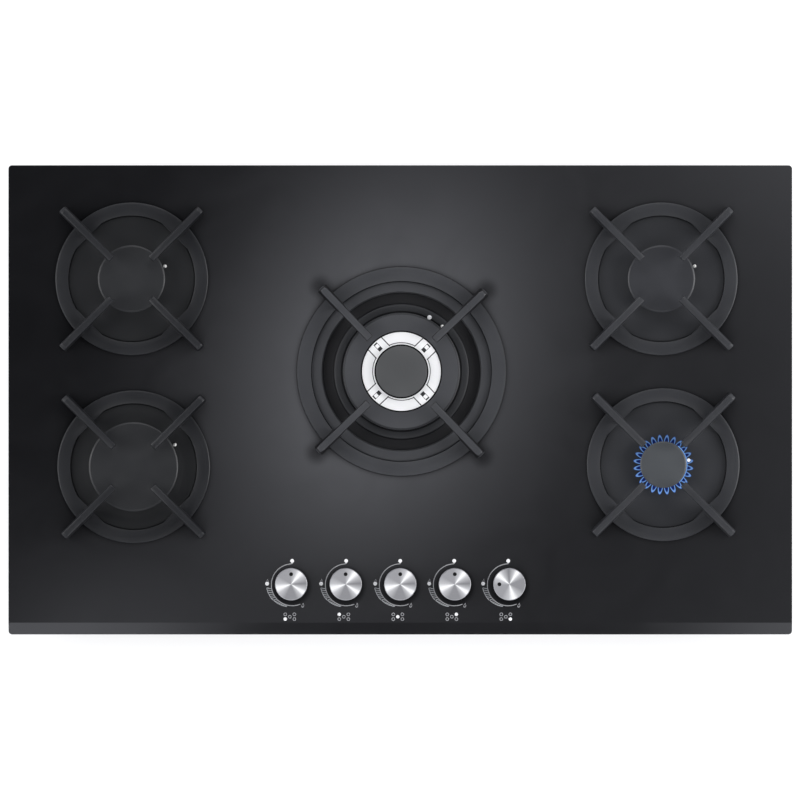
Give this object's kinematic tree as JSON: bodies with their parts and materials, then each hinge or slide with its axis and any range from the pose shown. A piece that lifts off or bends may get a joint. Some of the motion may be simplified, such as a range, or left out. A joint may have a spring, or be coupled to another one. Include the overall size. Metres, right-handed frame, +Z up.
{
  "type": "gas cooktop",
  "caption": "Built-in gas hob: black glass worktop with burners, lift-off cast pan supports, caps and front control knobs that push and turn, over a steel tray that holds the gas train.",
  "frame": {"origin": "under the middle of the hob, on the underside of the base tray", "axes": "+X to the user's right, +Y away from the user, +Z up"},
  "size_m": [0.86, 0.515, 0.094],
  "materials": {
    "black_glass": "polished, printed black underneath",
    "sealing_foam": "closed cell foam",
    "galvanised_steel": "zinc coated sheet",
    "spring_steel": "blued",
    "black_enamel": "matt vitreous enamel",
    "cast_aluminium": "die cast, bead blasted",
    "plated_steel_tube": "zinc plated",
    "brass": "machined",
    "aluminium_tube": "drawn",
    "silicone_rubber": "matt",
    "electrode_ceramic": "glazed alumina",
    "stainless_steel": "ground",
    "black_plastic": "moulded",
    "enamelled_cast_iron": "matt enamel over cast texture",
    "knob_aluminium": "spun top, satin side"
  },
  "bodies": {
    "root": {"glass_worktop": "black_glass", "worktop_seal": "sealing_foam", "base_tray": "galvanised_steel", "fixing_clips": "spring_steel", "burner_bases": "black_enamel", "flame_crowns": "cast_aluminium", "gas_manifold": "plated_steel_tube", "gas_inlet_elbow": "brass", "gas_pipes": "aluminium_tube", "jet_holders": "cast_aluminium", "injectors": "brass", "burner_brackets": "galvanised_steel", "tap_bodies": "cast_aluminium", "tap_clamps": "galvanised_steel", "shaft_seals": "silicone_rubber", "spark_electrodes": "electrode_ceramic", "thermocouple": "stainless_steel", "ignition_leads": "silicone_rubber", "spark_generator": "black_plastic", "ignition_switches": "black_plastic", "terminal_block": "black_plastic", "cable_gland": "black_plastic"},
    "tap_turn_front_left": {"tap_plug_front_left": "brass"},
    "tap_push_front_left": {"tap_spindle_front_left": "stainless_steel", "knob_front_left": "knob_aluminium"},
    "tap_turn_rear_left": {"tap_plug_rear_left": "brass"},
    "tap_push_rear_left": {"tap_spindle_rear_left": "stainless_steel", "knob_rear_left": "knob_aluminium"},
    "tap_turn_centre": {"tap_plug_centre": "brass"},
    "tap_push_centre": {"tap_spindle_centre": "stainless_steel", "knob_centre": "knob_aluminium"},
    "tap_turn_rear_right": {"tap_plug_rear_right": "brass"},
    "tap_push_rear_right": {"tap_spindle_rear_right": "stainless_steel", "knob_rear_right": "knob_aluminium"},
    "tap_turn_front_right": {"tap_plug_front_right": "brass"},
    "tap_push_front_right": {"tap_spindle_front_right": "stainless_steel", "knob_front_right": "knob_aluminium"},
    "support_rear_left": {"pan_support_rear_left": "enamelled_cast_iron", "support_pads_rear_left": "silicone_rubber"},
    "support_front_left": {"pan_support_front_left": "enamelled_cast_iron", "support_pads_front_left": "silicone_rubber"},
    "support_rear_right": {"pan_support_rear_right": "enamelled_cast_iron", "support_pads_rear_right": "silicone_rubber"},
    "support_front_right": {"pan_support_front_right": "enamelled_cast_iron", "support_pads_front_right": "silicone_rubber"},
    "support_centre": {"pan_support_centre": "enamelled_cast_iron", "support_pads_centre": "silicone_rubber"},
    "cap_rear_left": {"burner_cap_rear_left": "black_enamel"},
    "cap_front_left": {"burner_cap_front_left": "black_enamel"},
    "cap_rear_right": {"burner_cap_rear_right": "black_enamel"},
    "cap_front_right": {"burner_cap_front_right": "black_enamel"},
    "cap_wok_ring": {"wok_ring_cap": "black_enamel"},
    "cap_wok_inner": {"wok_inner_cap": "black_enamel"}
  },
  "joints": [
    {"name": "turn_front_left", "type": "hinge", "parent": "root", "child": "tap_turn_front_left", "pos_m": [-0.1196, -0.202, 0.054], "axis": [0, 0, 1], "range_deg": [0, 210]},
    {"name": "push_front_left", "type": "slide", "parent": "tap_turn_front_left", "child": "tap_push_front_left", "axis": [0, 0, -1], "range_m": [0, 0.003], "stiffness_N_per_m": 600, "springref_m": -0.005},
    {"name": "turn_rear_left", "type": "hinge", "parent": "root", "child": "tap_turn_rear_left", "pos_m": [-0.0598, -0.202, 0.054], "axis": [0, 0, 1], "range_deg": [0, 210]},
    {"name": "push_rear_left", "type": "slide", "parent": "tap_turn_rear_left", "child": "tap_push_rear_left", "axis": [0, 0, -1], "range_m": [0, 0.003], "stiffness_N_per_m": 600, "springref_m": -0.005},
    {"name": "turn_centre", "type": "hinge", "parent": "root", "child": "tap_turn_centre", "pos_m": [0, -0.202, 0.054], "axis": [0, 0, 1], "range_deg": [0, 210]},
    {"name": "push_centre", "type": "slide", "parent": "tap_turn_centre", "child": "tap_push_centre", "axis": [0, 0, -1], "range_m": [0, 0.003], "stiffness_N_per_m": 600, "springref_m": -0.005},
    {"name": "turn_rear_right", "type": "hinge", "parent": "root", "child": "tap_turn_rear_right", "pos_m": [0.0598, -0.202, 0.054], "axis": [0, 0, 1], "range_deg": [0, 210]},
    {"name": "push_rear_right", "type": "slide", "parent": "tap_turn_rear_right", "child": "tap_push_rear_right", "axis": [0, 0, -1], "range_m": [0, 0.003], "stiffness_N_per_m": 600, "springref_m": -0.005},
    {"name": "turn_front_right", "type": "hinge", "parent": "root", "child": "tap_turn_front_right", "pos_m": [0.1196, -0.202, 0.054], "axis": [0, 0, 1], "range_deg": [-90, 120]},
    {"name": "push_front_right", "type": "slide", "parent": "tap_turn_front_right", "child": "tap_push_front_right", "axis": [0, 0, -1], "range_m": [0, 0.003], "stiffness_N_per_m": 600, "springref_m": -0.005},
    {"name": "lift_support_rear_left", "type": "slide", "parent": "root", "child": "support_rear_left", "axis": [0, 0, 1], "range_m": [0, 0.08]},
    {"name": "lift_support_front_left", "type": "slide", "parent": "root", "child": "support_front_left", "axis": [0, 0, 1], "range_m": [0, 0.08]},
    {"name": "lift_support_rear_right", "type": "slide", "parent": "root", "child": "support_rear_right", "axis": [0, 0, 1], "range_m": [0, 0.08]},
    {"name": "lift_support_front_right", "type": "slide", "parent": "root", "child": "support_front_right", "axis": [0, 0, 1], "range_m": [0, 0.08]},
    {"name": "lift_support_centre", "type": "slide", "parent": "root", "child": "support_centre", "axis": [0, 0, 1], "range_m": [0, 0.08]},
    {"name": "lift_cap_rear_left", "type": "slide", "parent": "root", "child": "cap_rear_left", "axis": [0, 0, 1], "range_m": [0, 0.009]},
    {"name": "lift_cap_front_left", "type": "slide", "parent": "root", "child": "cap_front_left", "axis": [0, 0, 1], "range_m": [0, 0.009]},
    {"name": "lift_cap_rear_right", "type": "slide", "parent": "root", "child": "cap_rear_right", "axis": [0, 0, 1], "range_m": [0, 0.009]},
    {"name": "lift_cap_front_right", "type": "slide", "parent": "root", "child": "cap_front_right", "axis": [0, 0, 1], "range_m": [0, 0.06]},
    {"name": "lift_cap_wok_ring", "type": "slide", "parent": "root", "child": "cap_wok_ring", "axis": [0, 0, 1], "range_m": [0, 0.008]},
    {"name": "lift_cap_wok_inner", "type": "slide", "parent": "root", "child": "cap_wok_inner", "axis": [0, 0, 1], "range_m": [0, 0.06]}
  ]
}
